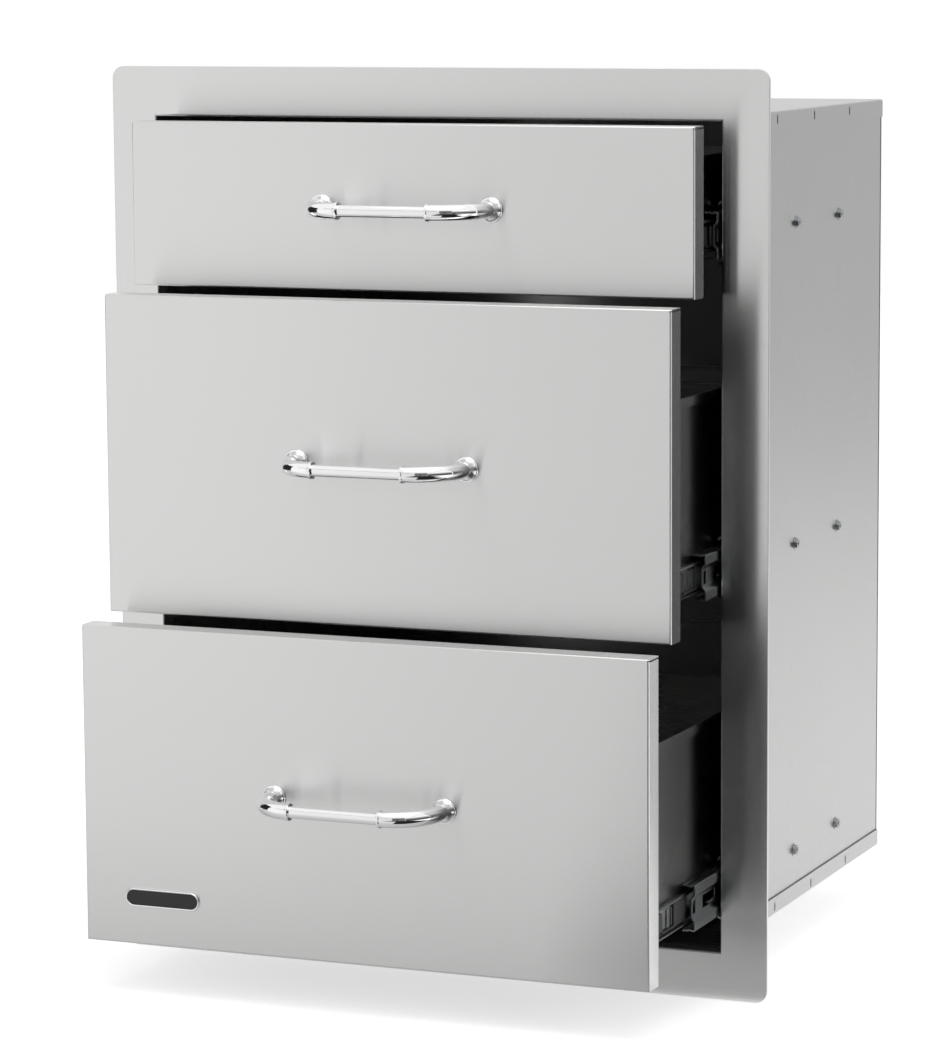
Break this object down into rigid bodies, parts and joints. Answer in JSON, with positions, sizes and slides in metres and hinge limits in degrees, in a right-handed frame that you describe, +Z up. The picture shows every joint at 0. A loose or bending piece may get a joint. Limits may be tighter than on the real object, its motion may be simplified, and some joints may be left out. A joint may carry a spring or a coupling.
{
  "type": "outdoor kitchen drawer unit",
  "caption": "Built-in stainless drawer unit: a flanged face frame on a sheet metal cabinet, with drawers of two depths on ball bearing slides and bent tube handles.",
  "frame": {"origin": "middle of the frame's bottom edge, on the back face of its hemmed rim, which seats on the island's face", "axes": "+X to the right seen from the front, +Y into the island, +Z up"},
  "size_m": [0.5084, 0.5563, 0.6604],
  "materials": {
    "brushed_steel": "brushed stainless steel",
    "plain_steel": "plain stainless sheet, mill finish",
    "zinc_steel": "zinc plated steel",
    "cage_steel": "greased steel",
    "chrome": "polished chrome",
    "black_plastic": "black moulded plastic"
  },
  "bodies": {
    "cabinet": {"face_frame": "brushed_steel", "side_panel_left": "plain_steel", "side_panel_right": "plain_steel", "top_cover": "plain_steel", "bottom_pan": "plain_steel", "back_panel": "plain_steel", "top_cabinet_rail_left": "zinc_steel", "top_cabinet_rail_right": "zinc_steel", "middle_cabinet_rail_left": "zinc_steel", "middle_cabinet_rail_right": "zinc_steel", "bottom_cabinet_rail_left": "zinc_steel", "bottom_cabinet_rail_right": "zinc_steel"},
    "top_drawer": {"top_drawer_front": "brushed_steel", "top_drawer_liner": "plain_steel", "top_drawer_tray": "plain_steel", "top_drawer_back": "plain_steel", "top_drawer_rail_left": "zinc_steel", "top_drawer_rail_right": "zinc_steel", "top_handle_bar": "chrome", "top_handle_post_left": "chrome", "top_handle_post_right": "chrome"},
    "top_carrier_rails": {"top_carrier_rail_left": "zinc_steel", "top_carrier_rail_right": "zinc_steel"},
    "top_outer_cages": {"top_outer_cage_left": "cage_steel", "top_outer_cage_right": "cage_steel"},
    "top_inner_cages": {"top_inner_cage_left": "cage_steel", "top_inner_cage_right": "cage_steel"},
    "middle_drawer": {"middle_drawer_front": "brushed_steel", "middle_drawer_liner": "plain_steel", "middle_drawer_tray": "plain_steel", "middle_drawer_back": "plain_steel", "middle_drawer_rail_left": "zinc_steel", "middle_drawer_rail_right": "zinc_steel", "middle_handle_bar": "chrome", "middle_handle_post_left": "chrome", "middle_handle_post_right": "chrome"},
    "middle_carrier_rails": {"middle_carrier_rail_left": "zinc_steel", "middle_carrier_rail_right": "zinc_steel"},
    "middle_outer_cages": {"middle_outer_cage_left": "cage_steel", "middle_outer_cage_right": "cage_steel"},
    "middle_inner_cages": {"middle_inner_cage_left": "cage_steel", "middle_inner_cage_right": "cage_steel"},
    "bottom_drawer": {"bottom_drawer_front": "brushed_steel", "bottom_drawer_liner": "plain_steel", "bottom_drawer_tray": "plain_steel", "bottom_drawer_back": "plain_steel", "bottom_drawer_rail_left": "zinc_steel", "bottom_drawer_rail_right": "zinc_steel", "bottom_handle_bar": "chrome", "bottom_handle_post_left": "chrome", "bottom_handle_post_right": "chrome"},
    "bottom_carrier_rails": {"bottom_carrier_rail_left": "zinc_steel", "bottom_carrier_rail_right": "zinc_steel"},
    "bottom_outer_cages": {"bottom_outer_cage_left": "cage_steel", "bottom_outer_cage_right": "cage_steel"},
    "bottom_inner_cages": {"bottom_inner_cage_left": "cage_steel", "bottom_inner_cage_right": "cage_steel"}
  },
  "joints": [
    {"name": "top_drawer_slide", "type": "slide", "parent": "cabinet", "child": "top_drawer", "axis": [0, -1, 0], "range_m": [-0.046, 0.284]},
    {"name": "top_carrier_rails_slide", "type": "slide", "parent": "cabinet", "child": "top_carrier_rails", "axis": [0, -1, 0], "range_m": [-0.023, 0.142]},
    {"name": "top_outer_cages_slide", "type": "slide", "parent": "cabinet", "child": "top_outer_cages", "axis": [0, -1, 0], "range_m": [-0.0115, 0.071]},
    {"name": "top_inner_cages_slide", "type": "slide", "parent": "cabinet", "child": "top_inner_cages", "axis": [0, -1, 0], "range_m": [-0.0345, 0.213]},
    {"name": "middle_drawer_slide", "type": "slide", "parent": "cabinet", "child": "middle_drawer", "axis": [0, -1, 0], "range_m": [-0.093, 0.237]},
    {"name": "middle_carrier_rails_slide", "type": "slide", "parent": "cabinet", "child": "middle_carrier_rails", "axis": [0, -1, 0], "range_m": [-0.0465, 0.1185]},
    {"name": "middle_outer_cages_slide", "type": "slide", "parent": "cabinet", "child": "middle_outer_cages", "axis": [0, -1, 0], "range_m": [-0.02325, 0.05925]},
    {"name": "middle_inner_cages_slide", "type": "slide", "parent": "cabinet", "child": "middle_inner_cages", "axis": [0, -1, 0], "range_m": [-0.06975, 0.17775]},
    {"name": "bottom_drawer_slide", "type": "slide", "parent": "cabinet", "child": "bottom_drawer", "axis": [0, -1, 0], "range_m": [-0.137, 0.193]},
    {"name": "bottom_carrier_rails_slide", "type": "slide", "parent": "cabinet", "child": "bottom_carrier_rails", "axis": [0, -1, 0], "range_m": [-0.0685, 0.0965]},
    {"name": "bottom_outer_cages_slide", "type": "slide", "parent": "cabinet", "child": "bottom_outer_cages", "axis": [0, -1, 0], "range_m": [-0.03425, 0.04825]},
    {"name": "bottom_inner_cages_slide", "type": "slide", "parent": "cabinet", "child": "bottom_inner_cages", "axis": [0, -1, 0], "range_m": [-0.10275, 0.14475]}
  ],
  "couplings": [
    {"joint": "top_carrier_rails_slide", "follows": "top_drawer_slide", "ratio": 0.5},
    {"joint": "top_outer_cages_slide", "follows": "top_drawer_slide", "ratio": 0.25},
    {"joint": "top_inner_cages_slide", "follows": "top_drawer_slide", "ratio": 0.75},
    {"joint": "middle_carrier_rails_slide", "follows": "middle_drawer_slide", "ratio": 0.5},
    {"joint": "middle_outer_cages_slide", "follows": "middle_drawer_slide", "ratio": 0.25},
    {"joint": "middle_inner_cages_slide", "follows": "middle_drawer_slide", "ratio": 0.75},
    {"joint": "bottom_carrier_rails_slide", "follows": "bottom_drawer_slide", "ratio": 0.5},
    {"joint": "bottom_outer_cages_slide", "follows": "bottom_drawer_slide", "ratio": 0.25},
    {"joint": "bottom_inner_cages_slide", "follows": "bottom_drawer_slide", "ratio": 0.75}
  ]
}
